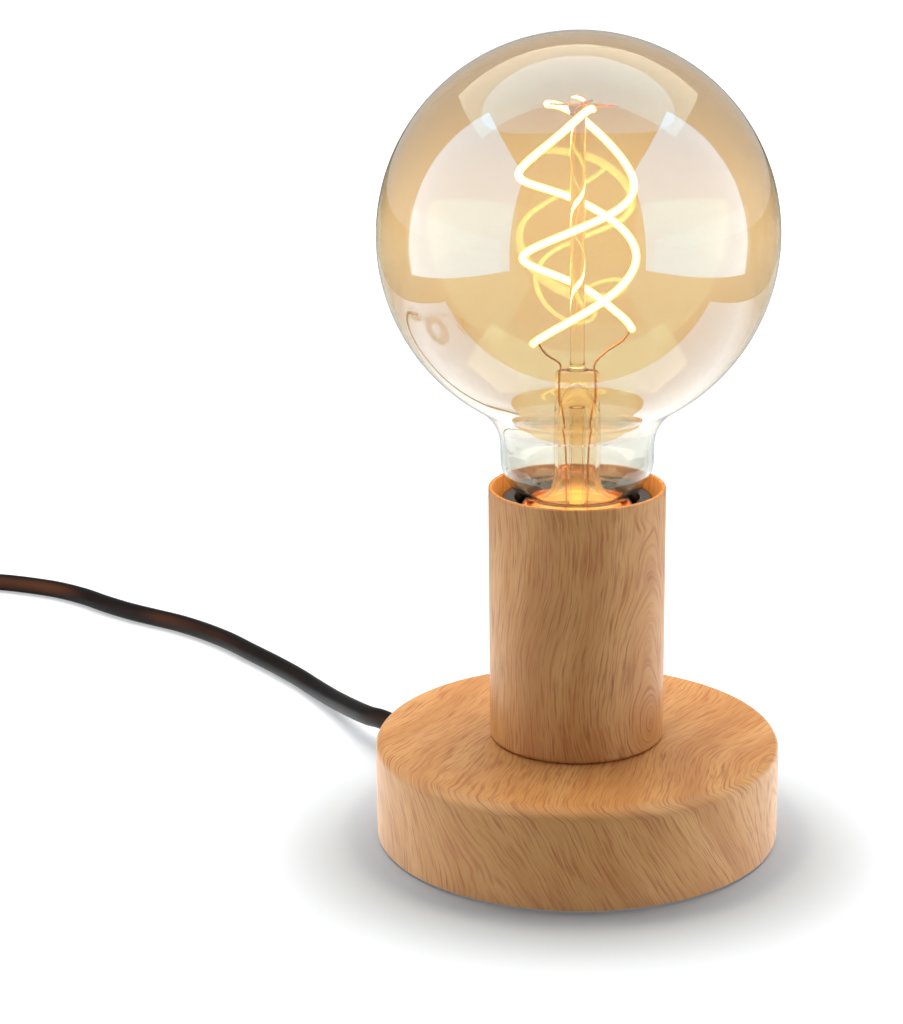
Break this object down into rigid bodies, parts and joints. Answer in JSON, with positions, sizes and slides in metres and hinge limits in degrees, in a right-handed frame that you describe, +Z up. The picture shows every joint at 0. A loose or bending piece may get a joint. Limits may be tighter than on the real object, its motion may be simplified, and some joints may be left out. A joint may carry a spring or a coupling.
{
  "type": "table lamp",
  "caption": "Table lamp with a weighted disc base, a plain tube sleeve round its lampholder, a large bare globe bulb with spiral filaments, and a cord with rocker switch and plug.",
  "frame": {"origin": "centre of the lamp's underside, on the surface it stands on", "axes": "+Z up along the axis of base, sleeve and bulb; the cord leaves the base towards -X and +Y"},
  "size_m": [0.318, 0.2722, 0.198],
  "materials": {
    "wood_print_film": "satin wood-grain film over drawn steel",
    "zinc_steel": "zinc-plated",
    "cast_iron": "cast, painted grey",
    "felt_pad": "soft foam pad",
    "black_holder": "smooth black plastic",
    "white_carrier": "white porcelain",
    "brass": "bright",
    "nickel": "nickel-plated sheet",
    "brown_core": "soft insulation",
    "blue_core": "soft insulation",
    "black_cord": "smooth flexible PVC",
    "black_plastic": "fine matt",
    "black_gloss": "gloss",
    "ivory_plastic": "plain",
    "amber_glass": "gold-tinted, polished",
    "clear_glass": "clear",
    "filament": "glowing phosphor strip",
    "circuit_board": "board with its parts",
    "cement": "matt cement",
    "black_glass": "opaque black glass",
    "hook_tape": "woven hook-and-loop tape"
  },
  "bodies": {
    "base": {"base_shell": "wood_print_film", "ballast": "cast_iron", "bottom_plate": "zinc_steel", "plate_screws": "zinc_steel", "base_pad": "felt_pad", "sleeve": "wood_print_film", "threaded_tube": "zinc_steel", "tube_nut": "zinc_steel", "lock_washer": "zinc_steel", "tube_end_bush": "black_plastic", "holder_dome": "black_holder", "holder_grub_screw": "zinc_steel", "holder_shell": "black_holder", "contact_carrier": "white_carrier", "screw_shell": "brass", "centre_contact": "brass", "side_contact": "brass", "live_terminal": "brass", "neutral_terminal": "brass", "terminal_screws": "zinc_steel", "live_core": "brown_core", "neutral_core": "blue_core", "cord_end": "black_cord", "cord_clamp": "ivory_plastic", "clamp_screws": "zinc_steel", "cord_bush": "black_plastic", "cord_lead": "black_cord", "cord_link": "black_cord", "cord_coil": "black_cord", "cord_tail": "black_cord", "coil_tie": "hook_tape", "switch_base": "black_plastic", "switch_cover": "black_plastic", "switch_contacts": "brass", "switch_cores": "brown_core", "switch_screws": "zinc_steel", "plug_body": "black_plastic", "plug_pins": "nickel", "plug_sleeves": "black_gloss"},
    "bulb_foot": {"cap_insulator": "black_glass", "end_contact": "nickel"},
    "bulb": {"glass_globe": "amber_glass", "stem": "clear_glass", "exhaust_tube": "clear_glass", "centre_rod": "clear_glass", "support_wires": "nickel", "filament_a": "filament", "filament_b": "filament", "lead_wire_a": "nickel", "lead_wire_b": "nickel", "driver_board": "circuit_board", "basing_cement": "cement", "lamp_cap": "nickel"},
    "rocker": {"switch_rocker": "black_gloss"}
  },
  "joints": [
    {"name": "bulb_lift", "type": "slide", "parent": "base", "child": "bulb_foot", "axis": [0, 0, 1], "range_m": [0, 0.01815]},
    {"name": "bulb_turn", "type": "hinge", "parent": "bulb_foot", "child": "bulb", "pos_m": [0, 0, 0.15], "axis": [0, 0, 1], "range_deg": [0, 1800]},
    {"name": "rocker_tilt", "type": "hinge", "parent": "base", "child": "rocker", "pos_m": [-0.256, 0.114, 0.0126], "axis": [-1, 0, 0], "range_deg": [0, 16]}
  ],
  "couplings": [
    {"joint": "bulb_lift", "follows": "bulb_turn", "m_per_rad": 0.00057757}
  ]
}
